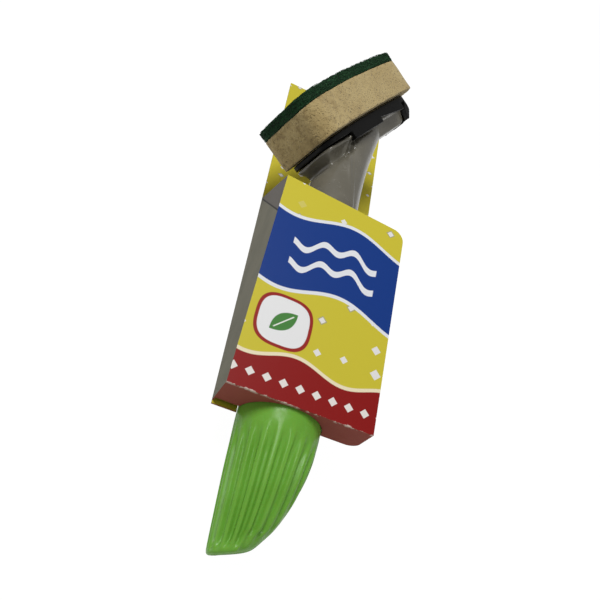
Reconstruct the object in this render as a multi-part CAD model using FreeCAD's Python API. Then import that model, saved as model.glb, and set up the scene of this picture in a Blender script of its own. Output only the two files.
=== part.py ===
import FreeCAD, Part
import math
import os

os.makedirs("parts", exist_ok=True)

V = FreeCAD.Vector

# Frame while building, millimetres: Y runs along the handle towards the head, X towards
# the head's toe, Z away from the back card. Y is zero at the sleeve's bottom panel.

# Handle and its threaded mouth
shoulder_y = 9.0
shoulder_radius = 17.0
grip_y = 60.0
grip_radius = 15.6
neck_y = 128.0
neck_radius = 13.8
# Stations of grip and neck: Y, left edge, right edge, half depth
handle_stations = [
    (shoulder_y, -shoulder_radius, shoulder_radius, shoulder_radius),
    (grip_y, -grip_radius, grip_radius, grip_radius),
    (neck_y, -neck_radius, neck_radius, neck_radius),
    (149.0, -13.2, 14.8, 13.0),
    (170.0, -12.4, 17.4, 12.0),
    (194.0, -11.0, 21.0, 10.8),
]
handle_wall = 2.2
mouth_radius = 13.6
mouth_bore = 11.4
mouth_y = -11.0
cavity_tip_y = 143.0
cavity_tip_radius = 2.6

# Thread between mouth and cap
thread_pitch = 6.0
thread_turns = 1.25
thread_height = 0.9
thread_root = 2.2
thread_crest = 1.0
thread_start_y = -7.6
thread_sink = 0.3

# End cap
cap_radius = 17.4
cap_bore_gap = 0.4
cap_rim_gap = 0.3
cap_wall = 2.2
cap_ledge_radius = 12.2
flute_count = 20
flute_depth = 0.8
flute_points = 4
# Stations of the cap: Y, left edge, right edge, half depth; flutes fade in along them
cap_stations = [
    (shoulder_y - cap_rim_gap, -cap_radius, cap_radius, cap_radius),
    (-3.0, -17.3, 17.4, 17.3),
    (-8.0, -17.1, 17.2, 17.1),
    (-14.0, -16.8, 16.6, 16.7),
    (-24.0, -16.4, 14.3, 15.8),
    (-34.0, -15.9, 10.8, 14.3),
    (-43.0, -15.5, 6.2, 12.2),
    (-51.0, -15.2, 0.0, 9.6),
    (-60.0, -15.0, -7.6, 6.2),
]
cap_flute_shares = [0.0, 0.0, 0.1, 0.5, 0.9, 1.0, 1.0, 0.8, 0.3]
cap_tip = (-14.6, -56.6)
cap_facet_angle = 19.0

# Seal ring under the mouth
seal_radius = 14.4
seal_thickness = 2.0

# Head: S runs to the toe, M towards the scourer, the third way is across
head_angle = 29.1
head_x = 2.1
head_y = 178.6
deck_m = -3.0
keel_m = -12.4
hull_heel_s = -46.0
hull_toe_s = 40.0
hull_keel_half = 6.2
hull_heel_rake = 2.6
hull_toe_rake = 4.0
hull_corner = 6.0
flange_half = 14.4
flange_reach = 1.2
hull_top_half = flange_half - flange_reach
flange_toe_flat = 1.4
flange_toe_corner = flange_half - flange_toe_flat
flange_thickness = 2.4
neck_foot_m = -7.4
neck_heel_m = -11.0
recess_across = 3.6
recess_length = 12.0
recess_height = 5.6
recess_depth = 0.8
recess_m = -8.0
rib_count = 4
rib_pitch = 1.5
rib_size = 0.8
rib_height = 4.0
rib_across = -9.0

# Outlet in the deck
outlet_s = -20.0
pocket_radius = 6.0
pocket_depth = 4.0
outlet_bore = 2.2
valve_gap = 0.1
valve_thickness = 1.2
valve_dome = 1.0
valve_dome_radius = 2.6
valve_slit = 0.3
valve_slit_length = 3.6
retainer_bore = 3.4
retainer_thickness = 1.6

# Sponge refill
sponge_length = 95.6
sponge_width = 42.0
sponge_corner = 10.0
foam_bow = 1.0
foam_thickness = 18.0
scourer_bow = 1.7
scourer_thickness = 5.6
film_thickness = 0.2
film_inset = 2.0
film_gap = 0.2
base_heel_s = -45.0
base_toe_s = 45.4
base_corner = 9.0
base_gap = 0.3
rail_wall = 2.3
base_half = flange_half + base_gap + rail_wall
skirt_clip_m = -4.0
skirt_toe_m = -6.7
lip_thickness = 1.2
lip_reach = 1.1
clip_heel_s = -25.0
clip_toe_s = 4.5
cup_length = 11.4
cup_floor_length = 5.6
cup_wall = 1.6
cup_toe_flat = 1.0
cup_corner = base_half - cup_toe_flat
cup_nose_radius = 5.0

# Card sleeve
card = 0.6
sleeve_left = -28.4
sleeve_right = 33.3
sleeve_front = 19.2
front_top_left = 108.5
front_top_right = 104.0
front_corner = 6.0
side_top_y = 141.0
back_slope_angle = 15.4
back_bottom_z = -1.0
back_top_y = 290.0
back_top_right = 46.2
back_corner = 0.8
back_lip = 1.8
back_right_low = 2.5
bottom_depth = 17.0
bottom_corner = 5.0
side_cut_y = 7.0
hole_gap = 0.4
hang_hole_radius = 4.0
hang_hole_drop = 14.0

# Pose on the floor
wand_turn_angle = 15.0
overrun = 5.0
oval_points = 24
full_turn = 360.0
quarter_turn = 90.0


def polygon(points):
    """Flat face in the XY plane through the points."""
    corners = [V(x, y, 0) for x, y in points]
    return Part.Face(Part.makePolygon(corners + corners[:1]))


def prism(points, low, high):
    """Polygon in the XY plane, raised between two heights."""
    solid = polygon(points).extrude(V(0, 0, high - low))
    solid.translate(V(0, 0, low))
    return solid


def ring(outer, inner, low, high):
    """Tube about the Y axis."""
    tube = Part.makeCylinder(outer, high - low, V(0, low, 0), V(0, 1, 0))
    bore = Part.makeCylinder(inner, high - low + 2 * overrun, V(0, low - overrun, 0), V(0, 1, 0))
    return tube.cut(bore)


def smooth_loop(points):
    """Closed smooth wire through the points."""
    curve = Part.BSplineCurve()
    curve.interpolate(points, PeriodicFlag=True)
    return Part.Wire(curve.toShape())


def oval(center_x, half_x, half_z, y):
    """Closed oval wire square to the Y axis."""
    points = []
    for i in range(oval_points):
        turn = 2 * math.pi * i / oval_points
        points.append(V(center_x + half_x * math.cos(turn), y, half_z * math.sin(turn)))
    return smooth_loop(points)


def head_placed(shape):
    """From the head's own S, M and across axes to the handle's axes."""
    shape.rotate(V(0, 0, 0), V(0, 0, 1), quarter_turn - head_angle)
    shape.translate(V(head_x, head_y, 0))
    return shape


def rounded(sheet, corner, picks):
    """Round the upright edges nearest to the picked corners."""
    upright = [e for e in sheet.Edges if abs(e.tangentAt(e.FirstParameter).z) > 1 - 1 / full_turn]
    chosen = []
    for x, y in picks:
        chosen.append(min(upright, key=lambda e: math.hypot(e.CenterOfMass.x - x, e.CenterOfMass.y - y)))
    return sheet.makeFillet(corner, chosen)


def rounded_plan(heel, toe, half, heel_corner, toe_corner, low, high):
    """Plan with rounded corners in S and across, standing between two values of M."""
    corners = [(heel, -half), (toe, -half), (toe, half), (heel, half)]
    flat = rounded(prism(corners, low, high), heel_corner, [corners[0], corners[3]])
    flat = rounded(flat, toe_corner, corners[1:3])
    flat.rotate(V(0, 0, 0), V(1, 0, 0), -quarter_turn)
    return flat


def tapered(low, low_half, high, high_half, heel, toe):
    """Block along S that narrows from its top to its bottom."""
    block = prism([(high, -high_half), (low, -low_half), (low, low_half), (high, high_half)], heel, toe)
    # prism axes X, Y, Z stand for M, across and S here
    block.rotate(V(0, 0, 0), V(1, 1, 1), full_turn / 3)
    return block


def arch_reach():
    """Arched lines run on past the sponge's ends."""
    return sponge_length / 2 + overrun


def arch_end_m(m, bow):
    """Height where an arched line stops; it is m at the sponge's ends and m + bow at its middle."""
    if bow == 0:
        return m
    radius = ((sponge_length / 2) ** 2 + bow ** 2) / (2 * bow)
    return m + bow - radius + math.sqrt(radius ** 2 - arch_reach() ** 2)


def arch_edge(way, m, bow):
    start = V(-way * arch_reach(), arch_end_m(m, bow), 0)
    end = V(way * arch_reach(), arch_end_m(m, bow), 0)
    if bow == 0:
        return Part.makeLine(start, end)
    return Part.Arc(start, V(0, m + bow, 0), end).toShape()


def arch_wire(low_m, low_bow, high_m, high_bow):
    """Side outline between two arched lines."""
    end = arch_reach()
    low = arch_edge(1, low_m, low_bow)
    high = arch_edge(-1, high_m, high_bow)
    toe = Part.makeLine(V(end, arch_end_m(low_m, low_bow), 0), V(end, arch_end_m(high_m, high_bow), 0))
    heel = Part.makeLine(V(-end, arch_end_m(high_m, high_bow), 0), V(-end, arch_end_m(low_m, low_bow), 0))
    return Part.Wire([low, toe, high, heel])


def arch_slab(low_m, low_bow, high_m, high_bow, half):
    """Slab between two arched faces, as wide as given."""
    slab = Part.Face(arch_wire(low_m, low_bow, high_m, high_bow)).extrude(V(0, 0, 2 * half))
    slab.translate(V(0, 0, -half))
    return slab


# Handle: a turned hollow body, blended into the boat-shaped head
def grip_solid():
    """Round grip and oval neck in one loft, cut off flat inside the hull."""
    wires = []
    for y, left, right, half in handle_stations:
        wires.append(oval((left + right) / 2, (right - left) / 2, half, y))
    reach = hull_toe_s - hull_heel_s
    above = Part.makeBox(2 * reach, reach, reach, V(-reach, neck_foot_m, -reach / 2))
    above_heel = Part.makeBox(reach, reach, reach, V(clip_heel_s - reach, neck_heel_m, -reach / 2))
    return Part.makeLoft(wires, True, False).cut([head_placed(above), head_placed(above_heel)])


def cavity_solid():
    """Soap room: half outline turned about the Y axis."""
    outline = [
        (0, mouth_y - overrun),
        (mouth_bore, mouth_y - overrun),
        (mouth_bore, shoulder_y),
        (shoulder_radius - handle_wall, shoulder_y + handle_wall),
        (grip_radius - handle_wall, grip_y),
        (neck_radius - handle_wall, neck_y),
        (cavity_tip_radius, cavity_tip_y),
        (0, cavity_tip_y),
    ]
    return polygon(outline).revolve(V(0, 0, 0), V(0, 1, 0), full_turn)


def thread(radius, sign, start_y, turns):
    """Helical ridge about the Y axis; sign is 1 outside the mouth, -1 inside the cap."""
    helix = Part.makeHelix(thread_pitch, thread_pitch * turns, radius)
    inner = radius - sign * thread_sink
    outer = radius + sign * thread_height
    corners = [
        V(inner, 0, -thread_root / 2),
        V(outer, 0, -thread_crest / 2),
        V(outer, 0, thread_crest / 2),
        V(inner, 0, thread_root / 2),
    ]
    profile = Part.makePolygon(corners + corners[:1])
    ridge = Part.Wire(helix).makePipeShell([profile], True, True)
    ridge.rotate(V(0, 0, 0), V(1, 0, 0), -quarter_turn)
    ridge.translate(V(0, start_y, 0))
    return ridge


def hull_solid():
    """Boat shape: the common part of its plan, its side view and its section."""
    toe = hull_toe_s - flange_reach
    section = tapered(keel_m, hull_keel_half, deck_m, hull_top_half, hull_heel_s, toe)
    side = prism(
        [
            (hull_heel_s, deck_m),
            (hull_heel_s + hull_heel_rake, keel_m),
            (toe - hull_toe_rake, keel_m),
            (toe, keel_m + hull_toe_rake / 2),
            (toe, deck_m),
        ],
        -flange_half,
        flange_half,
    )
    low = keel_m - overrun
    toe_corner = flange_toe_corner - flange_reach
    high = deck_m + overrun
    plan = rounded_plan(hull_heel_s, toe, hull_top_half, hull_corner, toe_corner, low, high)
    return section.common(side).common(plan)


def on_heel(shape, across):
    """From a drawing in across and M, raised towards the viewer, to the hull's raked heel face."""
    rake = math.degrees(math.atan(hull_heel_rake / (deck_m - keel_m)))
    s = hull_heel_s + hull_heel_rake * (deck_m - recess_m) / (deck_m - keel_m)
    shape.rotate(V(0, 0, 0), V(0, 1, 0), -quarter_turn)
    shape.rotate(V(0, 0, 0), V(0, 0, 1), rake)
    shape.translate(V(s, recess_m, across))
    return shape


def hull_ribs():
    """Short upright ribs side by side on the heel face."""
    ribs = []
    for i in range(rib_count):
        corner = V(-rib_size / 2, -rib_height / 2, -rib_size)
        rib = Part.makeBox(rib_size, rib_height, 2 * rib_size, corner)
        ribs.append(on_heel(rib, rib_across + i * rib_pitch))
    return ribs


def hull_recess():
    """Shallow panel with rounded ends beside the ribs."""
    wide = recess_length / 2
    tall = recess_height / 2
    pad = prism([(-wide, -tall), (wide, -tall), (wide, tall), (-wide, tall)], -recess_depth, overrun)
    upright = [e for e in pad.Edges if abs(e.tangentAt(e.FirstParameter).z) > 1 - 1 / full_turn]
    return on_heel(pad.makeFillet(tall - recess_depth, upright), recess_across)


def make_handle():
    hull = hull_solid()
    flange_low = deck_m - flange_thickness
    flange = rounded_plan(
        hull_heel_s, hull_toe_s, flange_half, hull_corner, flange_toe_corner, flange_low, deck_m
    )
    head = hull.fuse([flange] + hull_ribs())
    head = head.cut(hull_recess())
    mouth = Part.makeCylinder(mouth_radius, shoulder_y + overrun - mouth_y, V(0, mouth_y, 0), V(0, 1, 0))
    ridge = thread(mouth_radius, 1, thread_start_y, thread_turns)
    body = grip_solid().fuse([mouth, ridge, head_placed(head)])
    pocket_floor = V(outlet_s, deck_m - pocket_depth, 0)
    pocket = head_placed(Part.makeCylinder(pocket_radius, pocket_depth + overrun, pocket_floor, V(0, 1, 0)))
    floor = head_placed(Part.Vertex(pocket_floor)).Point
    channel = Part.makeCylinder(outlet_bore, floor.y - neck_y, V(floor.x, neck_y, 0), V(0, 1, 0))
    return body.cut([cavity_solid(), pocket, channel]).removeSplitter()


# Slit valve and its ring, in the pocket of the deck
def make_valve():
    low = deck_m - pocket_depth
    disc = Part.makeCylinder(pocket_radius - valve_gap, valve_thickness, V(outlet_s, low, 0), V(0, 1, 0))
    dome = Part.makeCone(
        valve_dome_radius,
        valve_dome_radius / 2,
        valve_dome,
        V(outlet_s, low + valve_thickness, 0),
        V(0, 1, 0),
    )
    tall = valve_thickness + valve_dome + 2 * overrun
    slit_corner = V(outlet_s - valve_slit_length / 2, low - overrun, -valve_slit / 2)
    slit = Part.makeBox(valve_slit_length, tall, valve_slit, slit_corner)
    return head_placed(disc.fuse(dome).cut(slit))


def make_retainer():
    low = deck_m - pocket_depth + valve_thickness
    radius = pocket_radius - valve_gap / 2
    body = Part.makeCylinder(radius, retainer_thickness, V(outlet_s, low, 0), V(0, 1, 0))
    tall = retainer_thickness + 2 * overrun
    bore = Part.makeCylinder(retainer_bore, tall, V(outlet_s, low - overrun, 0), V(0, 1, 0))
    return head_placed(body.cut(bore))


# End cap: fluted shell lofted through its stations, cut by a slanting end face
def flute_wire(y, left, right, half, share):
    """Many-sided loop with a groove between each two ribs."""
    center = (left + right) / 2
    wide = (right - left) / 2
    corners = []
    count = flute_count * flute_points
    for i in range(count):
        turn = 2 * math.pi * i / count
        groove = flute_depth * share * ((1 + math.cos(flute_count * turn)) / 2) ** 2
        corners.append(V(center + (wide - groove) * math.cos(turn), y, (half - groove) * math.sin(turn)))
    return Part.makePolygon(corners + corners[:1])


def end_cut():
    """Block below the slanting end face of the cap."""
    size = 2 * cap_radius + 2 * overrun
    block = Part.makeBox(2 * size, size, 2 * size, V(-size, -size, -size))
    block.rotate(V(0, 0, 0), V(0, 0, 1), cap_facet_angle)
    block.translate(V(cap_tip[0], cap_tip[1], 0))
    return block


def make_cap():
    wires = [flute_wire(*station, share) for station, share in zip(cap_stations, cap_flute_shares)]
    shell = Part.makeLoft(wires, True, False).cut(end_cut())
    bore_radius = mouth_radius + thread_height + cap_bore_gap
    ledge_y = mouth_y - seal_thickness
    bore = Part.makeCylinder(bore_radius, shoulder_y + overrun - ledge_y, V(0, ledge_y, 0), V(0, 1, 0))
    hollow = [oval(0, cap_ledge_radius, cap_ledge_radius, ledge_y + cap_wall)]
    for y, left, right, half in cap_stations[3:8]:
        wide = (right - left) / 2
        hollow.append(oval((left + right) / 2, wide - 2 * cap_wall, half - 2 * cap_wall, y + cap_wall / 2))
    pocket = Part.makeLoft(hollow, True, False)
    ridge = thread(bore_radius, -1, thread_start_y + thread_pitch / 2, thread_turns)
    return shell.cut([bore, pocket]).fuse(ridge).removeSplitter()


def make_seal():
    return ring(seal_radius, cap_ledge_radius, mouth_y - seal_thickness, mouth_y)


# Refill base: arched plate, clips and skirts at both sides, and a rounded cup over the toe
def base_side(under):
    """Clip and tapering skirt of one side, drawn in S and M and standing across."""
    rail_inner = flange_half + base_gap
    lip_top = deck_m - flange_thickness - base_gap
    lip_low = lip_top - lip_thickness
    clip = [(clip_heel_s, lip_low), (clip_toe_s, lip_low), (clip_toe_s, under), (clip_heel_s, under)]
    lip = [(clip_heel_s, lip_low), (clip_toe_s, lip_low), (clip_toe_s, lip_top), (clip_heel_s, lip_top)]
    skirt_toe_s = base_toe_s - cup_corner
    skirt_low = [(clip_toe_s, skirt_clip_m), (skirt_toe_s, skirt_toe_m)]
    skirt = skirt_low + [(skirt_toe_s, under), (clip_toe_s, under)]
    return [
        prism(clip, rail_inner, base_half),
        prism(lip, rail_inner - base_gap - lip_reach, base_half),
        prism(skirt, rail_inner, base_half),
    ]


def base_cup(under):
    """Cup that wraps the hull's toe, with a rounded nose and slanting cheeks."""
    room_low = keel_m - base_gap
    low = room_low - cup_wall
    heel = base_toe_s - cup_length
    side = [
        (heel, under),
        (base_toe_s, under),
        (base_toe_s, low),
        (base_toe_s - cup_floor_length, low),
        (heel, skirt_toe_m),
    ]
    cheeks = rounded(prism(side, -base_half, base_half), cup_nose_radius, [side[2]])
    plan = rounded_plan(base_heel_s, base_toe_s, base_half, base_corner, cup_corner, low, under)
    room_half = hull_keel_half + base_gap
    outer = tapered(low, room_half + cup_wall, under, base_half, heel, base_toe_s)
    room_toe = hull_toe_s + base_gap
    hull_room = tapered(room_low, room_half, under, hull_top_half + 2 * base_gap, base_heel_s, room_toe)
    flange_low = deck_m - flange_thickness - base_gap
    room_wide = flange_half + base_gap
    flange_room = tapered(flange_low, room_wide, under, room_wide, base_heel_s, room_toe)
    toe_corner = flange_toe_corner + base_gap
    room_plan = rounded_plan(base_heel_s, room_toe, room_wide, hull_corner, toe_corner, room_low, under)
    return cheeks.common(plan).common(outer).cut(hull_room.fuse(flange_room).common(room_plan))


def make_base():
    under = deck_m + base_gap
    high = foam_bow + overrun
    plan = rounded_plan(base_heel_s, base_toe_s, base_half, base_corner, cup_corner, keel_m, high)
    plate = plan.common(arch_slab(under, 0, 0, foam_bow, sponge_width))
    pieces = [base_cup(under)]
    for piece in base_side(under):
        pieces += [piece, piece.mirror(V(0, 0, 0), V(0, 0, 1))]
    return head_placed(plate.fuse(pieces).removeSplitter())


# Sponge layers: the plan of the block cut out of arched slabs
def sponge_layer(low_m, low_bow, high_m, high_bow, inset):
    end = sponge_length / 2 - inset
    half = sponge_width / 2 - inset
    tall = high_m + high_bow + overrun
    corner = sponge_corner - inset
    plan = rounded_plan(-end, end, half, corner, corner, -overrun, tall)
    return head_placed(plan.common(arch_slab(low_m, low_bow, high_m, high_bow, sponge_width)))


def make_base_film():
    heel = base_heel_s + film_inset
    toe = base_toe_s - film_inset
    half = base_half - film_inset
    toe_corner = cup_corner - film_inset
    plan = rounded_plan(heel, toe, half, base_corner - film_inset, toe_corner, -overrun, foam_thickness)
    high = film_gap + film_thickness
    return head_placed(plan.common(arch_slab(film_gap, foam_bow, high, foam_bow, sponge_width)))


foam_low = film_thickness + 2 * film_gap
foam_high = foam_low + foam_thickness
film_low = foam_high + film_gap
film_high = film_low + film_thickness
scourer_low = film_high + film_gap
scourer_high = scourer_low + scourer_thickness


# Card sleeve: one folded sheet of card
def back_point(x, y):
    """Point on the back face of the back card."""
    return (x, y / math.cos(math.radians(back_slope_angle)))


def back_plane(solid):
    """Lay a sheet drawn in its own plane onto the slope of the back card."""
    solid.rotate(V(0, 0, 0), V(1, 0, 0), -back_slope_angle)
    solid.translate(V(0, 0, back_bottom_z))
    return solid


def back_z(y):
    return back_bottom_z - y * math.tan(math.radians(back_slope_angle))


def front_panel():
    corners = [
        (sleeve_left, 0),
        (sleeve_right, 0),
        (sleeve_right, front_top_right),
        (sleeve_left, front_top_left),
    ]
    return rounded(prism(corners, sleeve_front - card, sleeve_front), front_corner, [corners[2]])


def side_panel(x, top_front, low_corner):
    """Wedge between the front panel and the back card, drawn in Y and Z."""
    outline = [(0, sleeve_front - card / 2)] + low_corner + [
        (side_top_y, back_z(side_top_y) + card / 2),
        (top_front, sleeve_front - card / 2),
    ]
    corners = [V(x, y, z) for y, z in outline]
    return Part.Face(Part.makePolygon(corners + corners[:1])).extrude(V(card, 0, 0))


def bottom_panel():
    low = sleeve_front - bottom_depth
    corners = [
        (sleeve_left, -sleeve_front + card / 2),
        (sleeve_right, -sleeve_front + card / 2),
        (sleeve_right, -low),
        (sleeve_left, -low),
    ]
    sheet = rounded(prism(corners, 0, card), bottom_corner, [corners[2]])
    sheet.rotate(V(0, 0, 0), V(1, 0, 0), -quarter_turn)
    return sheet


def back_card():
    """Back card with a lip left of the cap and a header that widens to the top."""
    corners = [
        back_point(sleeve_left, -back_lip),
        back_point(0, -back_lip),
        back_point(0, back_right_low),
        back_point(sleeve_right, back_right_low),
        back_point(sleeve_right, front_top_right),
        back_point(back_top_right, back_top_y),
        back_point(sleeve_left, back_top_y),
    ]
    sheet = rounded(prism(corners, 0, card), back_corner, corners[5:7])
    hole_at = V((sleeve_left + back_top_right) / 2, corners[5][1] - hang_hole_drop, -overrun)
    return back_plane(sheet.cut(Part.makeCylinder(hang_hole_radius, card + 2 * overrun, hole_at)))


def cap_way():
    """Space for the cap through the bottom panel and the back card."""
    return Part.makeCylinder(cap_radius + hole_gap, neck_y + overrun, V(0, -overrun, 0), V(0, 1, 0))


def make_sleeve():
    square = [(0, back_z(0) + card)]
    cut_off = [(0, sleeve_front - bottom_depth + bottom_corner), (side_cut_y, back_z(side_cut_y) + card / 2)]
    sheets = [
        side_panel(sleeve_left, front_top_left, square),
        side_panel(sleeve_right - card, front_top_right - front_corner, cut_off),
        bottom_panel(),
        back_card(),
    ]
    return front_panel().fuse(sheets).cut(cap_way()).removeSplitter()


def cap_low(y, left, right, half):
    """Lowest height of the turned wand at a station of the cap."""
    turn = math.radians(wand_turn_angle)
    center = (left + right) / 2
    wide = (right - left) / 2
    return -center * math.sin(turn) - math.hypot(wide * math.sin(turn), half * math.cos(turn))


wand = {
    "handle_body": make_handle(),
    "outlet_valve": make_valve(),
    "valve_retainer": make_retainer(),
    "cap_seal": make_seal(),
    "end_cap": make_cap(),
    "refill_base": make_base(),
    "base_adhesive": make_base_film(),
    "foam_block": sponge_layer(foam_low, foam_bow, foam_high, scourer_bow, 0),
    "scourer_adhesive": sponge_layer(film_low, scourer_bow, film_high, scourer_bow, film_inset),
    "scourer_pad": sponge_layer(scourer_low, scourer_bow, scourer_high, scourer_bow, 0),
}
for piece in wand.values():
    piece.rotate(V(0, 0, 0), V(0, 1, 0), wand_turn_angle)
parts = dict(wand, card_sleeve=make_sleeve())

# Lay the whole on the floor: it rests on the cap's back and the top edge of the back card
slopes = [(cap_low(*station) - back_z(back_top_y)) / (back_top_y - station[0]) for station in cap_stations]
lay_angle = math.degrees(math.atan(min(slopes)))
for piece in parts.values():
    piece.rotate(V(0, 0, 0), V(1, 0, 0), lay_angle)
box = Part.makeCompound(list(parts.values())).optimalBoundingBox()
shift = V(-box.Center.x, -box.Center.y, -box.ZMin)
for name, piece in parts.items():
    piece.translate(shift)
    piece.exportStep("parts/%s.step" % name)
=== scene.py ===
import math
import random

import bmesh
import bpy
from mathutils import Matrix, Vector, noise


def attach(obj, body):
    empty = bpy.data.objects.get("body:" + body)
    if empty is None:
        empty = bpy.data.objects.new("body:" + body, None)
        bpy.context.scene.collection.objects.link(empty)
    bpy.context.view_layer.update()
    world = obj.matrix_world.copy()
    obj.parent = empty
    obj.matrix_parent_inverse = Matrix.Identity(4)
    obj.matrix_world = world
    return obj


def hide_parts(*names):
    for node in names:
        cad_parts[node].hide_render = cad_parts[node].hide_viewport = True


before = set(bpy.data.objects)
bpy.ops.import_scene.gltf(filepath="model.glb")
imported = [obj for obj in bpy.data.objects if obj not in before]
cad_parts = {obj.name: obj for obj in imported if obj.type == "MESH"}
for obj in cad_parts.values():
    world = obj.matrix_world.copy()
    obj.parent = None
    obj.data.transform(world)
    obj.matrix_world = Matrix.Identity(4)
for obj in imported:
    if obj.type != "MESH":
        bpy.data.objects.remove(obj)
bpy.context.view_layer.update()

# Handle: a hollow squeeze handle that ends in a boat-shaped head, blow-moulded in one piece
# from smoke-grey plastic. Its edges are the small soft radii that a mould leaves.
# Pieces of the wand are drawn along the handle, then turned in the sleeve and laid down.
mm = 0.001
lay_angle = math.radians(11.73455)
wand_turn = math.radians(15.0)
head_turn = math.radians(60.9)
floor_shift = Vector((-0.59632, -121.80023, 20.20941)) * mm
head_spot = Vector((2.1, 178.6, 0)) * mm
sleeve_place = Matrix.Translation(floor_shift) @ Matrix.Rotation(lay_angle, 4, "X")
wand_place = sleeve_place @ Matrix.Rotation(wand_turn, 4, "Y")
head_place = wand_place @ Matrix.Translation(head_spot) @ Matrix.Rotation(head_turn, 4, "Z")
neck_low = 12.0
neck_high = 158.0
neck_front = 5.0
ridge_low = 60.0
ridge_high = 163.0
ridge_top_x = -6.1
ridge_top_y = 155.6
ridge_lean = 0.2
ridge_height = 1.1
ridge_width = 1.3
seam_top_x = -2.6
seam_top_y = 160.0
seam_lean = 0.142
seam_height = 0.35
seam_width = 0.6


def add_piece(name, mesh, body):
    piece = bpy.data.objects.new(name, mesh)
    bpy.context.scene.collection.objects.link(piece)
    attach(piece, body)
    return piece


def moulded(node, name, body, voxel, passes):
    """Copy of a solid whose sharp edges melt into small radii."""
    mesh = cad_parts[node].data.copy()
    mesh.materials.clear()
    trial = bpy.data.objects.new(name + "_trial", mesh)
    bpy.context.scene.collection.objects.link(trial)
    casting = trial.modifiers.new("Casting", "REMESH")
    casting.mode = "VOXEL"
    casting.voxel_size = voxel * mm
    casting.use_smooth_shade = True
    softening = trial.modifiers.new("Softening", "SMOOTH")
    softening.factor = 0.5
    softening.iterations = passes
    bpy.context.view_layer.update()
    ready = trial.evaluated_get(bpy.context.evaluated_depsgraph_get())
    result = bpy.data.meshes.new_from_object(ready)
    bpy.data.objects.remove(trial)
    bpy.data.meshes.remove(mesh)
    result.name = name
    result.shade_smooth()
    piece = add_piece(name, result, body)
    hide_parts(node)
    return piece


def smoothed(mesh, verts, passes):
    for _ in range(passes):
        bmesh.ops.smooth_vert(
            mesh, verts=verts, factor=0.5, use_axis_x=True, use_axis_y=True, use_axis_z=True,
        )


def eased(piece, place, chosen, passes):
    """The points of a piece whose spot is chosen are smoothed further."""
    inverse = place.inverted()
    mesh = bmesh.new()
    mesh.from_mesh(piece.data)
    smoothed(mesh, [vertex for vertex in mesh.verts if chosen((inverse @ vertex.co) / mm)], passes)
    mesh.to_mesh(piece.data)
    mesh.free()


def reshaped(piece, place, change):
    """Every point of a piece moves as its own spot, in millimetres of the given place, tells."""
    inverse = place.inverted()
    flat = []
    for vertex in piece.data.vertices:
        flat.extend(place @ (change((inverse @ vertex.co) / mm) * mm))
    piece.data.vertices.foreach_set("co", flat)
    piece.data.update()


def on_neck(spot):
    return neck_low < spot.y < neck_high


def neck_ridges(spot):
    """A soft ridge and a thin mould seam run up the neck's front and fade out at both ends."""
    if ridge_low < spot.y < ridge_high and spot.z > neck_front:
        ridge_x = ridge_top_x + ridge_lean * (ridge_top_y - spot.y)
        seam_x = seam_top_x + seam_lean * (seam_top_y - spot.y)
        ridge = ridge_height * math.exp(-((spot.x - ridge_x) / ridge_width) ** 2)
        ridge *= max(0.0, min(1.0, (spot.y - 110) / 35))
        seam = seam_height * math.exp(-((spot.x - seam_x) / seam_width) ** 2)
        spot.z += (ridge + seam) * min(1.0, (spot.y - ridge_low) / 30, (ridge_high - spot.y) / 3)
    return spot


def colour(red, green, blue):
    """A colour as it is read on screen, made linear."""
    parts = []
    for value in (red, green, blue):
        value = value / 255
        parts.append(value / 12.92 if value <= 0.04045 else ((value + 0.055) / 1.055) ** 2.4)
    return (*parts, 1.0)


def put(tree, kind, inputs=None, **settings):
    """A node with its settings, and its inputs set or linked."""
    item = tree.nodes.new(kind)
    for key, value in settings.items():
        setattr(item, key, value)
    for key, value in (inputs or {}).items():
        if isinstance(value, bpy.types.NodeSocket):
            tree.links.new(value, item.inputs[key])
        else:
            item.inputs[key].default_value = value
    return item


def calc(tree, operation, *values):
    return put(tree, "ShaderNodeMath", dict(enumerate(values)), operation=operation).outputs[0]


def times(tree, first, second):
    return calc(tree, "MULTIPLY", first, second)


def step(tree, low, high, value):
    """0 at low, 1 at high, smooth between."""
    item = put(
        tree, "ShaderNodeMapRange", {0: value, 1: low, 2: high}, interpolation_type="SMOOTHSTEP",
    )
    return item.outputs[0]


def clouds(tree, place, scale, detail, roughness=0.5):
    inputs = {"Vector": place, "Scale": scale, "Detail": detail, "Roughness": roughness}
    return put(tree, "ShaderNodeTexNoise", inputs).outputs[0]


def tint(tree, share, first, second):
    return put(tree, "ShaderNodeMix", {0: share, 6: first, 7: second}, data_type="RGBA").outputs[2]


def finish_material(name, **sockets):
    """A principled material; returns it with its tree and shader."""
    material = bpy.data.materials.new(name)
    material.use_nodes = True
    shader = material.node_tree.nodes["Principled BSDF"]
    for key, value in sockets.items():
        shader.inputs[key.replace("_", " ")].default_value = value
    return material, material.node_tree, shader


def own_place(tree):
    return put(tree, "ShaderNodeTexCoord").outputs["Object"]


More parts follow.
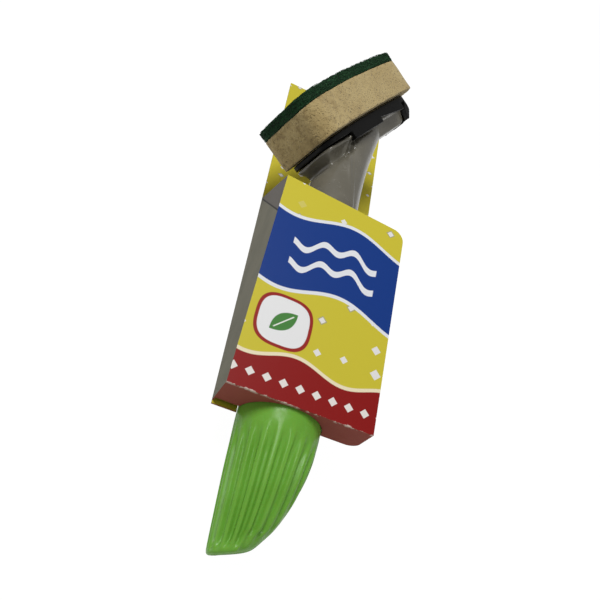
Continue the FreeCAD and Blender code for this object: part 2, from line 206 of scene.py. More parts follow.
def moulding_group():
    """Colour clouding, fine mould grain and rubbed patches shared by the plastic pieces."""
    group = bpy.data.node_groups.new("Moulding", "ShaderNodeTree")
    face = group.interface
    face.new_socket("Place", in_out="INPUT", socket_type="NodeSocketVector")
    face.new_socket("Body", in_out="INPUT", socket_type="NodeSocketColor")
    face.new_socket("Cloud", in_out="INPUT", socket_type="NodeSocketColor")
    face.new_socket("Gloss", in_out="INPUT", socket_type="NodeSocketFloat")
    face.new_socket("Colour", in_out="OUTPUT", socket_type="NodeSocketColor")
    face.new_socket("Roughness", in_out="OUTPUT", socket_type="NodeSocketFloat")
    face.new_socket("Height", in_out="OUTPUT", socket_type="NodeSocketFloat")
    entry = put(group, "NodeGroupInput").outputs
    broad = clouds(group, entry["Place"], 60.0, 4.0)
    fine = clouds(group, entry["Place"], 1400.0, 3.0)
    rub = clouds(group, entry["Place"], 300.0, 6.0)
    shade = tint(group, step(group, 0.35, 0.65, broad), entry["Body"], entry["Cloud"])
    worn = times(group, step(group, 0.56, 0.72, rub), 0.14)
    rough = calc(group, "ADD", entry["Gloss"], worn)
    put(group, "NodeGroupOutput", {"Colour": shade, "Roughness": rough, "Height": fine})
    return group


moulding = moulding_group()


def plastic(name, body, cloud, gloss, grain, **sockets):
    """Moulded plastic with its own two colours, gloss and grain depth."""
    material, tree, shader = finish_material(name, **sockets)
    inputs = {"Place": own_place(tree), "Body": body, "Cloud": cloud, "Gloss": gloss}
    look = put(tree, "ShaderNodeGroup", inputs, node_tree=moulding).outputs
    height = look["Height"]
    bump = put(tree, "ShaderNodeBump", {"Strength": grain, "Distance": 0.0002, "Height": height})
    tree.links.new(look["Colour"], shader.inputs["Base Color"])
    tree.links.new(look["Roughness"], shader.inputs["Roughness"])
    tree.links.new(bump.outputs[0], shader.inputs["Normal"])
    return material


handle = moulded("handle_body", "handle", "wand", 0.5, 7)
eased(handle, wand_place, on_neck, 45)
reshaped(handle, wand_place, neck_ridges)
smoke = plastic(
    "smoke_plastic", colour(113, 109, 97), colour(103, 99, 87), 0.2, 0.03,
    Coat_Weight=0.3, Coat_Roughness=0.12, Specular_IOR_Level=0.5,
)
handle.data.materials.append(smoke)

# Slit valve: a small silicone disc in the head's outlet that lets soap through when squeezed.
# The retaining ring is a pressed-in plastic washer that holds it.
valve = moulded("outlet_valve", "slit_valve", "wand", 0.12, 2)
silicone = plastic(
    "silicone", colour(214, 212, 205), colour(200, 198, 190), 0.45, 0.05,
    Subsurface_Weight=0.2, Subsurface_Scale=0.001,
)
valve.data.materials.append(silicone)
keeper = moulded("valve_retainer", "valve_ring", "wand", 0.15, 2)
keeper.data.materials.append(plastic(
    "ring_plastic", colour(84, 84, 84), colour(74, 74, 75), 0.4, 0.15,
))

# Seal ring: a flat silicone washer between the handle's mouth and the ledge in the cap.
# It is soft moulded rubber and rides up and down with the cap.
washer = moulded("cap_seal", "seal_ring", "seal", 0.2, 2)
washer.data.materials.append(silicone)

# End cap: the fluted screw cap of the handle, injection moulded in glossy lime-green plastic.
# Its ribs fade in below a smooth band, run off the cut-away side and stop above the slanting end.
# A station is a height along the handle, the left and right edge there, and half the depth.
cap_stations = [
    (8.7, -17.4, 17.4, 17.4),
    (-3.0, -17.3, 17.4, 17.3),
    (-8.0, -17.1, 17.2, 17.1),
    (-14.0, -16.8, 16.6, 16.7),
    (-24.0, -16.4, 14.3, 15.8),
    (-34.0, -15.9, 10.8, 14.3),
    (-43.0, -15.5, 6.2, 12.2),
    (-51.0, -15.2, 0.0, 9.6),
    (-60.0, -15.0, -7.6, 6.2),
]
cap_top = cap_stations[0][0]
cap_tip_x = -14.6
cap_tip_y = -56.6
facet_angle = math.radians(19.0)
facet_up = Vector((-math.sin(facet_angle), math.cos(facet_angle), 0))
end_round = 1.3
columns = 400
rows = 96
flutes = 20
rib_depth = 1.8
rib_swell = 0.1
rib_cone_y = -8.0
rib_cone_right = 17.2
rib_cone_slope = 0.14
bore_radius = 14.9
store_radius = 12.2
bore_profile = [
    (8.9, 17.0), (8.9, 15.4), (8.5, bore_radius), (2.0, bore_radius),
    (-6.0, bore_radius), (-12.8, bore_radius), (-13.0, 14.7), (-13.0, store_radius),
]
store_levels = (-13.4, -18.0, -26.0, -34.0, -42.0, -47.0, -48.0)
thread_pitch = 6.0
thread_turns = 1.25
thread_start = -4.6
thread_height = 0.9
around = [2 * math.pi * j / columns for j in range(columns)]


def cap_section(y):
    """Middle, half width and half depth of the cap, smooth between its stations."""
    k = 0
    while k < len(cap_stations) - 2 and y < cap_stations[k + 1][0]:
        k += 1
    low, high = cap_stations[k], cap_stations[k + 1]
    before = cap_stations[k - 1] if k else low
    after = cap_stations[k + 2] if k + 2 < len(cap_stations) else high
    span = high[0] - low[0]
    t = (y - low[0]) / span
    values = []
    for i in (1, 2, 3):
        start = (high[i] - before[i]) / (high[0] - before[0]) * span
        end = (after[i] - low[i]) / (after[0] - low[0]) * span
        values.append(
            low[i] * (2 * t ** 3 - 3 * t ** 2 + 1) + start * (t ** 3 - 2 * t ** 2 + t)
            + high[i] * (3 * t ** 2 - 2 * t ** 3) + end * (t ** 3 - t ** 2)
        )
    left, right, half = values
    return (left + right) / 2, (right - left) / 2, half


def smooth(low, high, value):
    """0 at low, 1 at high, smooth between."""
    t = min(1.0, max(0.0, (value - low) / (high - low)))
    return t * t * (3 - 2 * t)


def rib_turn(x, y):
    """Where a spot lies among the ribs: they run straight down a cone and off its cut-away side."""
    center, wide, _ = cap_section(y)
    left = center - wide
    right = center + wide
    if y < rib_cone_y:
        right = max(right, rib_cone_right + rib_cone_slope * (y - rib_cone_y))
    share = 2 * (x - left) / (right - left) - 1
    return math.acos(max(-1.0, min(1.0, share)))


def cap_ends():
    """How far down each column of the cap's side reaches before the end's rounding."""
    ends = []
    for turn in around:
        high, low = -20.0, -60.0
        for _ in range(40):
            middle = (high + low) / 2
            center, wide, _ = cap_section(middle)
            x = center + wide * math.cos(turn)
            facet_y = cap_tip_y + (x - cap_tip_x) * math.tan(facet_angle)
            if middle - facet_y > end_round:
                high = middle
            else:
                low = middle
        ends.append(high)
    return ends


def cap_outside(ends):
    """Rings of the ribbed side, from the rim down to the end's rounding."""
    rings = []
    for i in range(rows + 1):
        ring = []
        for turn, end in zip(around, ends):
            y = cap_top + (end - cap_top) * i / rows
            center, wide, half = cap_section(y)
            phase = (math.cos(flutes * rib_turn(center + wide * math.cos(turn), y)) + 1) / 2
            fade = smooth(-5.0, -19.0, y) * (1 - smooth(-4.0, -0.3, end - y))
            fade *= 1 - smooth(-18.0, -40.0, y) * smooth(0.4, 0.9, math.cos(turn))
            cut = fade * (rib_depth * smooth(0.1, 0.95, phase) - rib_swell * (1 - phase))
            x = center + (wide - cut) * math.cos(turn)
            ring.append(Vector((x, y, (half - cut) * math.sin(turn))))
        rings.append(ring)
    return rings


def cap_end(last):
    """Rings that round the side over and close in on the middle of the slanting end."""
    rim = [p - facet_up * end_round for p in last]
    middle = sum(rim, Vector()) / columns
    rings = []
    for i in range(1, 7):
        turn = math.radians(15 * i)
        inset = end_round * (1 - math.cos(turn))
        lift = end_round * (1 - math.sin(turn))
        rings.append([p + (middle - p).normalized() * inset + facet_up * lift for p in rim])
    flat = rings[-1]
    for i in range(1, 7):
        rings.append([p.lerp(middle, i / 7) for p in flat])
    return rings


def cap_inside():
    """Rings of the bore: the thread's room, the ledge for the seal, and the tapering store."""
    rings = []
    for y, radius in bore_profile:
        rings.append([
            Vector((radius * math.cos(turn), y, radius * math.sin(turn))) for turn in around
        ])
    for y in store_levels:
        center, wide, half = cap_section(y)
        wall = 6.0 if y == store_levels[-1] else 4.4
        across = min(store_radius, wide - wall)
        deep = min(store_radius, half - wall)
        rings.append([
            Vector((center + across * math.cos(turn), y, deep * math.sin(turn))) for turn in around
        ])
    return rings


def cap_thread(mesh):
    """The raised thread in the bore, which runs out at both ends."""
    steps = 90
    loops = []
    for i in range(steps + 1):
        turn = thread_turns * 2 * math.pi * i / steps
        y = thread_start + thread_pitch * thread_turns * i / steps
        crest = bore_radius - thread_height * smooth(0, 0.06, i / steps) * smooth(1, 0.94, i / steps)
        foot = bore_radius + 0.3
        loop = []
        for radius, rise in ((foot, -1.1), (crest, -0.5), (crest, 0.5), (foot, 1.1)):
            spot = Vector((radius * math.cos(turn), y + rise, -radius * math.sin(turn)))
            loop.append(mesh.verts.new(spot * mm))
        loops.append(loop)
    for first, second in zip(loops, loops[1:]):
        for j in range(4):
            mesh.faces.new((first[j], first[(j + 1) % 4], second[(j + 1) % 4], second[j]))
    mesh.faces.new(loops[0][::-1])
    mesh.faces.new(loops[-1])


def cap_mesh():
    inside = cap_inside()
    outside = cap_outside(cap_ends())
    rings = inside[::-1] + outside + cap_end(outside[-1])
    mesh = bmesh.new()
    grid = [[mesh.verts.new(p * mm) for p in ring] for ring in rings]
    for first, second in zip(grid, grid[1:]):
        for j in range(columns):
            k = (j + 1) % columns
            mesh.faces.new((first[j], second[j], second[k], first[k]))
    mesh.faces.new(grid[0])
    mesh.faces.new(grid[-1][::-1])
    end_row = len(inside) + rows
    whole_end = [v for ring in grid[end_row - 8:] for v in ring]
    round_side = [v for ring in grid[end_row - 10:] for v in ring if v.co.x > -9 * mm]
    smoothed(mesh, whole_end, 12)
    smoothed(mesh, round_side, 70)
    cap_thread(mesh)
    bmesh.ops.recalc_face_normals(mesh, faces=mesh.faces)
    mesh.transform(wand_place)
    result = bpy.data.meshes.new("end_cap_shell")
    mesh.to_mesh(result)
    mesh.free()
    result.shade_smooth()
    result.set_sharp_from_angle(angle=math.radians(50))
    return result


cap = add_piece("screw_cap", cap_mesh(), "cap")
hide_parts("end_cap")
cap.data.materials.append(plastic(
    "green_plastic", colour(115, 174, 64), colour(109, 167, 58), 0.26, 0.04,
    Specular_IOR_Level=0.2, Subsurface_Weight=0.1, Subsurface_Scale=0.002,
))

# Refill base: the black clip-on shoe of the sponge, moulded in satin polypropylene.
# Its rails slide over the head's flange and its cup covers the toe.
# In the head's own place, x runs to the toe, y to the scourer and z across.
floor_start = 36.0
floor_end = 40.6
floor_level = -12.5
nose_start = 40.3
nose_narrowing = 0.5
nose_lift = 1.7


def toe_nose(spot):
    """The cup's foot draws in to a blunt nose below the head's toe."""
    low = smooth(-6.0, -13.5, spot.y)
    if floor_start < spot.x < floor_end and spot.y < floor_level:
        spot.x = floor_end
    if spot.x > nose_start:
        spot.z *= 1 - nose_narrowing * low
        spot.y += nose_lift * low
    return spot


shoe = moulded("refill_base", "refill_shoe", "refill", 0.4, 4)
reshaped(shoe, head_place, toe_nose)
shoe.data.materials.append(plastic(
    "black_plastic", colour(9, 9, 9), colour(6, 6, 6), 0.42, 0.2, Specular_IOR_Level=0.2,
))

# Glue films: thin sheets of cured hot-melt glue between shoe, foam and scourer.
# They are amber, waxy and only their edges could ever be seen.
glue = plastic("glue", colour(206, 190, 140), colour(190, 170, 118), 0.5, 0.3)
for film in ("base_adhesive", "scourer_adhesive"):
    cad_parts[film].data.materials.clear()
    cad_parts[film].data.materials.append(glue)

# Foam block: cut from open-cell sponge, with fine pores all over and a few large ones.
# It is glued to the shoe's arched top, so it bows with it, and its heel half carries painted shade:
# blotches that darken towards the heel end.
sponge_length = 95.6
foam_top = 18.6
fine_pore = 1.7
large_pore = 5.5
layer_bow = 1.7
film_reach = 0.45
to_head = head_place.inverted()


def pores(point, cell):
    """0 in the wall between cells, 1 in the middle of a cell."""
    near = noise.voronoi(point / cell)[0]
    return max(0.0, 1 - near[0] / 0.42)


def sunk(piece, depth):
    """Every point of a piece moves inwards by the depth that its own spot gives."""
    ways = [vertex.normal.copy() for vertex in piece.data.vertices]
    spots = [vertex.co.copy() for vertex in piece.data.vertices]
    flat = []
    for spot, way in zip(spots, ways):
        flat.extend(spot - way * depth((to_head @ spot) / mm) * mm)
    piece.data.vertices.foreach_set("co", flat)
    piece.data.update()


def foam_depth(spot):
    fine = 0.32 * pores(spot, fine_pore)
    large = 0.5 * max(0.0, pores(spot + Vector((7, 3, 5)), large_pore) - 0.45)
    return fine + large + 0.22 * noise.noise(spot / 9) + 0.1


def layer_rise(s):
    """How far the arched layers stand up at a place along the sponge."""
    return layer_bow * (1 - (2 * s / sponge_length) ** 2)


def foam_meets(spot):
    """The foam's upper face swells until it meets the scourer."""
    spot.y += film_reach * smooth(1.2, 0.3, foam_top + layer_rise(spot.x) - spot.y)
    return spot


def below(tree, low, high, value):
    """1 at low, 0 at high, smooth between."""
    return calc(tree, "SUBTRACT", 1.0, step(tree, low, high, value))


def foam_material():
    material, tree, shader = finish_material(
        "foam", Roughness=0.95, Sheen_Weight=0.2, Sheen_Roughness=0.6, Specular_IOR_Level=0.15,
    )
    place = own_place(tree)
    broad = clouds(tree, place, 70.0, 5.0)
    cells = put(tree, "ShaderNodeTexVoronoi", {"Vector": place, "Scale": 900.0}).outputs["Distance"]
    large = put(tree, "ShaderNodeTexVoronoi", {"Vector": place, "Scale": 330.0}).outputs["Distance"]
    # Painted shade: the pores are coloured darker inside, the large ones most.
    deep = below(tree, 0.08, 0.22, large)
    body = tint(tree, step(tree, 0.36, 0.66, broad), colour(170, 149, 101), colour(180, 160, 111))
    body = tint(tree, times(tree, below(tree, 0.1, 0.5, cells), 0.3), body, colour(146, 122, 74))
    body = tint(tree, times(tree, deep, 0.3), body, colour(116, 92, 50))
    own = put(
        tree, "ShaderNodeMapping", {0: place, 1: head_place.translation, 2: head_place.to_euler()},
        vector_type="TEXTURE",
    ).outputs[0]
    from_middle = put(tree, "ShaderNodeSeparateXYZ", {0: own}).outputs[0]
    blotch = clouds(tree, place, 240.0, 4.0, 0.7)
    # Painted shade: darker blotches over the heel half, strongest towards the heel end.
    heel_shade = times(tree, step(tree, 0.0, -0.045, from_middle), step(tree, 0.42, 0.72, blotch))
    body = tint(tree, times(tree, heel_shade, 0.6), body, colour(112, 88, 46))
    height = calc(tree, "SUBTRACT", step(tree, 0.05, 0.5, cells), times(tree, deep, 1.5))
    bump = put(tree, "ShaderNodeBump", {"Strength": 0.7, "Distance": 0.0004, "Height": height})
    tree.links.new(body, shader.inputs["Base Color"])
    tree.links.new(bump.outputs[0], shader.inputs["Normal"])
    return material


foam = moulded("foam_block", "sponge_foam", "refill", 0.6, 2)
sunk(foam, foam_depth)
reshaped(foam, head_place, foam_meets)
foam.data.materials.append(foam_material())

# Scourer: a coarse web of green abrasive fibres bonded to the foam's face.
# The pad carries the mass of the web and the loose fibres lie over it.
web_low = 19.2
web_high = 24.8
sponge_half = 21.0
sponge_corner = 10.0
straight_s = sponge_length / 2 - sponge_corner
straight_w = sponge_half - sponge_corner
face_fibres = 2300
edge_fibres = 900
fibre_radius = (0.09, 0.15)


def web_depth(spot):
    return 0.35 + noise.noise(spot / 1.1) * 0.28 + noise.noise(spot / 3.2) * 0.25


def web_meets(spot):
    """The web's lower face settles onto the foam."""
    spot.y -= film_reach * smooth(1.2, 0.3, spot.y - web_low - layer_rise(spot.x))
    return spot


def web_material():
    material, tree, shader = finish_material("scourer", Roughness=0.8, Specular_IOR_Level=0.3)
    place = own_place(tree)
    bend = put(
        tree, "ShaderNodeTexNoise", {"Vector": place, "Scale": 350.0, "Detail": 2.0},
    ).outputs["Color"]
    curl = put(
        tree, "ShaderNodeVectorMath", {0: bend, 1: (0.0035, 0.0035, 0.0035)}, operation="MULTIPLY",
    ).outputs[0]
    spot = put(tree, "ShaderNodeVectorMath", {0: place, 1: curl}, operation="ADD").outputs[0]
    strands = put(
        tree, "ShaderNodeTexVoronoi", {"Vector": spot, "Scale": 1100.0}, feature="DISTANCE_TO_EDGE",
    ).outputs["Distance"]
    thread = below(tree, 0.0, 0.22, strands)
    broad = clouds(tree, place, 120.0, 4.0)
    # Painted shade: the gaps between the strands are dark green, the strands lighter.
    gap_shade = tint(tree, step(tree, 0.35, 0.65, broad), colour(12, 38, 18), colour(17, 50, 25))
    full = tint(tree, thread, gap_shade, colour(32, 84, 44))
    bump = put(tree, "ShaderNodeBump", {"Strength": 0.8, "Distance": 0.0005, "Height": thread})
    tree.links.new(full, shader.inputs["Base Color"])
    tree.links.new(bump.outputs[0], shader.inputs["Normal"])
    return material


def in_plan(s, w, inset):
    """Whether a spot lies inside the pad's rounded outline, drawn in by the inset."""
    reach_s = sponge_length / 2 - inset
    reach_w = sponge_half - inset
    over_s = abs(s) - reach_s + sponge_corner
    over_w = abs(w) - reach_w + sponge_corner
    if abs(s) > reach_s or abs(w) > reach_w:
        return False
    return over_s < 0 or over_w < 0 or math.hypot(over_s, over_w) < sponge_corner


def on_edge(turn):
    """The spot of the pad's rounded outline that lies in a direction from its middle."""
    c, d = math.cos(turn), math.sin(turn)
    reach = 1 / max(abs(c) / (sponge_length / 2), abs(d) / sponge_half)
    s, w = reach * c, reach * d
    over_s = max(0.0, abs(s) - straight_s)
    over_w = max(0.0, abs(w) - straight_w)
    far = math.hypot(over_s, over_w)
    if over_s and over_w and far > sponge_corner:
        s -= math.copysign(over_s * (1 - sponge_corner / far), s)
        w -= math.copysign(over_w * (1 - sponge_corner / far), w)
    return s, w


def strand(mesh, path, radius):
    """One fibre: a three-sided tube along its path, thin at both ends."""
    loops = []
    for i, point in enumerate(path):
        ahead = path[min(i + 1, len(path) - 1)] - path[max(i - 1, 0)]
        side = ahead.cross(Vector((0.3, 1, 0.2))).normalized()
        lift = ahead.cross(side).normalized()
        thin = radius * (0.35 if i in (0, len(path) - 1) else 1.0)
        loop = []
        for j in range(3):
            turn = 2 * math.pi * j / 3
            spot = point + (side * math.cos(turn) + lift * math.sin(turn)) * thin
            loop.append(mesh.verts.new(spot * mm))
        loops.append(loop)
    for first, second in zip(loops, loops[1:]):
        for j in range(3):
            mesh.faces.new((first[j], first[(j + 1) % 3], second[(j + 1) % 3], second[j]))
    mesh.faces.new(loops[0][::-1])
    mesh.faces.new(loops[-1])


def fibre_mesh():
    """Short bent fibres lying over the web's face and along its edges."""
    chance = random.Random(11)
    mesh = bmesh.new()
    for _ in range(face_fibres):
        s = chance.uniform(-47, 47)
        w = chance.uniform(-20.5, 20.5)
        turn = chance.uniform(0, 2 * math.pi)
        bend = chance.uniform(-0.35, 0.35)
        pace = chance.uniform(0.9, 1.7)
        lift = chance.uniform(-0.25, 0.15)
        path = []
        for i in range(6):
            if in_plan(s, w, 0.4):
                rise = lift + 0.18 * math.sin(math.pi * i / 5)
                path.append(Vector((s, web_high + layer_rise(s) - 0.15 + rise, w)))
            s += pace * math.cos(turn)
            w += pace * math.sin(turn)
            turn += bend
        if len(path) > 2:
            strand(mesh, path, chance.uniform(*fibre_radius))
    for _ in range(edge_fibres):
        along = chance.uniform(0, 1)
        level = chance.uniform(web_low + 0.5, web_high - 0.4)
        slope = chance.uniform(-0.5, 0.5)
        path = []
        for i in range(5):
            s, w = on_edge(2 * math.pi * along + i * 0.028)
            m = min(web_high - 0.2, max(web_low + 0.2, level + slope * i))
            path.append(Vector((s * 0.999, m + layer_rise(s), w * 0.998)))
        strand(mesh, path, chance.uniform(*fibre_radius))
    mesh.transform(head_place)
    result = bpy.data.meshes.new("scourer_fibres")
    mesh.to_mesh(result)
    mesh.free()
    result.shade_smooth()
    return result


scourer = moulded("scourer_pad", "scourer_web", "refill", 0.6, 3)
sunk(scourer, web_depth)
reshaped(scourer, head_place, web_meets)
web = web_material()
scourer.data.materials.append(web)
fibres = add_piece("scourer_fibres", fibre_mesh(), "refill")
fibres.data.materials.append(web)

# Card sleeve: one sheet of printed carton board, die-cut, folded and glued round the handle.
# The face is printed, the inside is bare grey board, and folds have rubbed to white fibres.
# The print is drawn in millimetres: across the sheet, along it from the bottom fold, and out from it.
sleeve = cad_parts["card_sleeve"]
yellow = colour(203, 190, 54)
blue = colour(10, 54, 130)
red = colour(138, 16, 14)
pale = colour(226, 228, 232)
front_level = 18.0
ribbon_middle = 71.0
ribbon_half = 19.0
foot_height = 17.0
bead_height = 7.5
bead_pitch = 3.5
badge_across = -13.0
badge_along = 33.5
badge_half = 11.5


def away(tree, value, middle):
    return calc(tree, "ABSOLUTE", calc(tree, "SUBTRACT", value, middle))


def printed_ground(tree, across, along):
    """Yellow with scattered pale diamonds, some of them edged in grey."""
    sheet = put(tree, "ShaderNodeCombineXYZ", {0: across, 1: along, 2: 0.0}).outputs[0]
    confetti = put(
        tree, "ShaderNodeTexVoronoi", {"Vector": sheet, "Scale": 0.085, "Randomness": 0.55},
        voronoi_dimensions="2D", distance="MANHATTAN",
    )
    luck = put(tree, "ShaderNodeSeparateColor", {0: confetti.outputs["Color"]}).outputs
    size = calc(tree, "MULTIPLY_ADD", luck[0], 0.13, 0.1)
    gap = calc(tree, "SUBTRACT", size, confetti.outputs["Distance"])
    diamonds = times(tree, step(tree, 0.0, 0.03, gap), step(tree, 0.2, 0.25, luck[1]))
    edging = times(tree, step(tree, -0.05, -0.03, gap), step(tree, 0.7, 0.72, luck[1]))
    ground = tint(tree, edging, yellow, colour(170, 165, 120))
    return tint(tree, diamonds, ground, colour(228, 226, 224))


def printed_ribbon(tree, across, along, face):
    """A swaying blue ribbon with a pale border and two pale wave lines."""
    sway = calc(tree, "SINE", calc(tree, "MULTIPLY_ADD", across, 0.105, 0.6))
    slant = calc(tree, "MULTIPLY_ADD", across, -0.06, ribbon_middle)
    off = calc(tree, "SUBTRACT", along, calc(tree, "MULTIPLY_ADD", sway, 4.0, slant))
    span = calc(tree, "ABSOLUTE", off)
    face = tint(tree, below(tree, ribbon_half + 1.6, ribbon_half + 2.0, span), face, pale)
    face = tint(tree, below(tree, ribbon_half - 0.2, ribbon_half + 0.2, span), face, blue)
    ripple = calc(tree, "SINE", times(tree, across, 0.42))
    shifted = calc(tree, "MULTIPLY_ADD", ripple, 2.1, off)
    stripe = calc(tree, "PINGPONG", calc(tree, "ADD", shifted, 105.5), 5.5)
    inner = below(tree, 8.0, 8.4, calc(tree, "ABSOLUTE", shifted))
    middle = below(tree, 20.0, 20.4, away(tree, across, 2.5))
    lines = times(tree, times(tree, below(tree, 1.5, 1.8, stripe), inner), middle)
    return tint(tree, lines, face, pale)


def printed_foot(tree, across, along, face):
    """A red foot with one long wave, a cream border and a row of pale diamonds."""
    wave = calc(tree, "SINE", calc(tree, "MULTIPLY_ADD", across, 0.15, 2.2))
    foot = calc(tree, "SUBTRACT", calc(tree, "MULTIPLY_ADD", wave, 2.6, foot_height), along)
    face = tint(tree, step(tree, -1.6, -1.2, foot), face, colour(236, 224, 190))
    face = tint(tree, step(tree, 0.0, 0.4, foot), face, red)
    bead = calc(tree, "PINGPONG", calc(tree, "ADD", across, 56.0), bead_pitch)
    tilt = calc(tree, "ADD", away(tree, along, bead_height), bead)
    return tint(tree, below(tree, 1.9, 2.2, tilt), face, colour(232, 226, 220))


def printed_badge(tree, across, along, face):
    """A pale badge with round corners, a red edge and a green leaf."""
    side = calc(tree, "SUBTRACT", across, badge_across)
    rise = calc(tree, "SUBTRACT", along, badge_along)
    corners = []
    for way in (side, rise):
        share = calc(tree, "ABSOLUTE", calc(tree, "DIVIDE", way, badge_half))
        corners.append(calc(tree, "POWER", share, 3.0))
    corner = calc(tree, "ADD", *corners)
    face = tint(tree, below(tree, 1.2, 1.3, corner), face, colour(150, 34, 28))
    face = tint(tree, below(tree, 0.82, 0.9, corner), face, colour(232, 232, 232))
    lean = calc(tree, "ADD", side, rise)
    cross = calc(tree, "SUBTRACT", side, rise)
    length = calc(tree, "POWER", calc(tree, "DIVIDE", lean, 10.5), 2.0)
    width = calc(tree, "ABSOLUTE", calc(tree, "DIVIDE", cross, 5.2))
    blade = calc(tree, "ADD", length, width)
    face = tint(tree, below(tree, 0.95, 1.05, blade), face, colour(70, 130, 60))
    rib = below(tree, 0.3, 0.5, calc(tree, "ABSOLUTE", cross))
    rib = times(tree, rib, below(tree, 7.0, 8.0, calc(tree, "ABSOLUTE", lean)))
    return tint(tree, rib, face, colour(225, 230, 220))


def side_board(tree, along, out, scaled):
    """The bare side panels, with a painted shadow along the crease and painted shade on the flap
    above it.
    """
    cloud = clouds(tree, scaled, 0.06, 4.0)
    panel = tint(tree, step(tree, 0.3, 0.7, cloud), colour(108, 106, 91), colour(118, 115, 99))
    inward = calc(tree, "SUBTRACT", 18.6, out)
    crease = calc(tree, "SUBTRACT", along, calc(tree, "MULTIPLY_ADD", inward, 0.92, 87.0))
    # Painted shade: the flap above the crease is darker.
    panel = tint(tree, step(tree, -0.2, 0.2, crease), panel, colour(103, 98, 92))
    # Painted shadow: a dark stripe along the crease.
    crease_shadow = below(tree, 0.3, 0.8, calc(tree, "ABSOLUTE", crease))
    return tint(tree, crease_shadow, panel, colour(40, 38, 36))


def rubbed_fold(tree, along, out, scaled):
    """Where the front's bottom fold is rubbed, in ragged patches."""
    patches = clouds(tree, scaled, 0.25, 5.0, 0.7)
    ragged = calc(tree, "MULTIPLY_ADD", patches, 3.6, -1.95)
    worn = below(tree, 0.0, 0.3, calc(tree, "SUBTRACT", calc(tree, "ABSOLUTE", along), ragged))
    return times(tree, times(tree, worn, step(tree, 17.5, 18.6, out)), 0.8)


def card_material():
    material, tree, shader = finish_material("card", Specular_IOR_Level=0.2)
    given = put(tree, "ShaderNodeTexCoord").outputs
    lay = (lay_angle, 0, 0)
    flat = put(
        tree, "ShaderNodeMapping", {0: given["Object"], 1: floor_shift, 2: lay},
        vector_type="TEXTURE",
    ).outputs[0]
    facing = put(
        tree, "ShaderNodeMapping", {0: given["Normal"], 2: lay}, vector_type="TEXTURE",
    ).outputs[0]
    scaled = put(
        tree, "ShaderNodeVectorMath", {0: flat, 1: (1000, 1000, 1000)}, operation="MULTIPLY",
    ).outputs[0]
    across, along, out = put(tree, "ShaderNodeSeparateXYZ", {0: scaled}).outputs
    sideways, lengthways, outwards = put(tree, "ShaderNodeSeparateXYZ", {0: facing}).outputs
    print_face = step(tree, 0.3, 0.5, outwards)
    front = times(tree, print_face, step(tree, front_level - 0.4, front_level + 0.2, out))
    under = step(tree, 0.6, 0.8, times(tree, lengthways, -1.0))
    outside = step(tree, 0.6, 0.8, calc(tree, "ABSOLUTE", sideways))
    ground = printed_ground(tree, across, along)
    face = printed_ribbon(tree, across, along, ground)
    face = printed_foot(tree, across, along, face)
    face = printed_badge(tree, across, along, face)
    fibre = clouds(tree, scaled, 1.6, 6.0, 0.7)
    board = tint(tree, step(tree, 0.3, 0.7, fibre), colour(146, 138, 122), colour(168, 160, 143))
    base = tint(tree, print_face, board, ground)
    base = tint(tree, front, base, face)
    base = tint(tree, outside, base, side_board(tree, along, out, scaled))
    base = tint(tree, under, base, colour(150, 74, 62))
    base = tint(tree, rubbed_fold(tree, along, out, scaled), base, colour(214, 196, 184))
    rough = calc(tree, "MULTIPLY_ADD", fibre, 0.2, calc(tree, "MULTIPLY_ADD", front, -0.3, 0.6))
    bump = put(tree, "ShaderNodeBump", {"Strength": 0.12, "Distance": 0.0003, "Height": fibre})
    tree.links.new(base, shader.inputs["Base Color"])
    tree.links.new(rough, shader.inputs["Roughness"])
    tree.links.new(bump.outputs[0], shader.inputs["Normal"])
    return material


sleeve.data.materials.clear()
sleeve.data.materials.append(card_material())

# Studio: a pale floor and backdrop, one broad soft lamp overhead and a weak fill.
# The camera stands where the photograph was taken from, given in the sleeve's own place.
floor_half = 4.0
floor_drop = 0.0006
aim = Vector((0, 0, 0.03))
eye_spot = Vector((-67.4, -108.2, 242.75)) * mm
eye_right = Vector((0.90468, 0.20013, 0.37618))
eye_up = Vector((-0.36992, 0.80704, 0.46026))
eye_back = Vector((-0.21148, -0.55554, 0.80414))


def seen_directly(tree):
    rays = put(tree, "ShaderNodeLightPath").outputs
    return calc(tree, "MAXIMUM", rays["Is Camera Ray"], rays["Is Transmission Ray"])


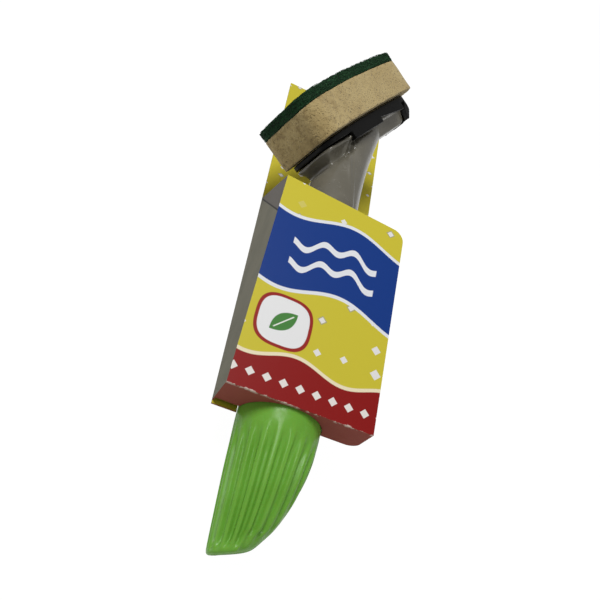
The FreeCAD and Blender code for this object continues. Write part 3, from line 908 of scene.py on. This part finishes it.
def lamp(name, spot, size, watts):
    light = bpy.data.lights.new(name, "AREA")
    light.size = size
    light.energy = watts
    holder = bpy.data.objects.new(name, light)
    bpy.context.scene.collection.objects.link(holder)
    holder.location = spot
    holder.rotation_euler = (aim - Vector(spot)).to_track_quat("-Z", "Y").to_euler()


floor_mesh = bpy.data.meshes.new("floor")
floor_signs = ((-1, -1), (1, -1), (1, 1), (-1, 1))
floor_corners = [(x * floor_half, y * floor_half, 0) for x, y in floor_signs]
floor_mesh.from_pydata(floor_corners, [], [(0, 1, 2, 3)])
floor = bpy.data.objects.new("floor", floor_mesh)
bpy.context.scene.collection.objects.link(floor)
floor.location.z = -floor_drop
floor_material = bpy.data.materials.new("pale_floor")
floor_material.use_nodes = True
tree = floor_material.node_tree
tree.nodes.clear()
matt = put(tree, "ShaderNodeBsdfDiffuse", {"Color": (0.86, 0.86, 0.86, 1)}).outputs[0]
bright = put(tree, "ShaderNodeEmission", {"Color": (1, 1, 1, 1), "Strength": 1.06}).outputs[0]
share = times(tree, seen_directly(tree), 0.93)
mixed = put(tree, "ShaderNodeMixShader", {0: share, 1: matt, 2: bright})
put(tree, "ShaderNodeOutputMaterial", {0: mixed.outputs[0]})
floor_mesh.materials.append(floor_material)

world = bpy.data.worlds.new("studio")
bpy.context.scene.world = world
world.use_nodes = True
tree = world.node_tree
tree.nodes.clear()
soft = put(tree, "ShaderNodeBackground", {"Color": (1, 1, 1, 1), "Strength": 0.3}).outputs[0]
white = put(tree, "ShaderNodeBackground", {"Color": (1, 1, 1, 1), "Strength": 1.0}).outputs[0]
mixed = put(tree, "ShaderNodeMixShader", {0: seen_directly(tree), 1: soft, 2: white})
put(tree, "ShaderNodeOutputWorld", {0: mixed.outputs[0]})

lamp("key_lamp", (-0.25, 0.12, 0.92), 0.4, 6)
lamp("fill_lamp", (0.6, -0.5, 0.5), 0.5, 0.6)

view = bpy.data.cameras.new("view")
view.sensor_width = 36
view.lens = 40.28
eye = bpy.data.objects.new("view", view)
bpy.context.scene.collection.objects.link(eye)
eye_turn = Matrix((eye_right, eye_up, eye_back)).transposed().to_4x4()
eye.matrix_world = sleeve_place @ Matrix.Translation(eye_spot) @ eye_turn
bpy.context.scene.camera = eye
bpy.context.scene.view_settings.view_transform = "Standard"
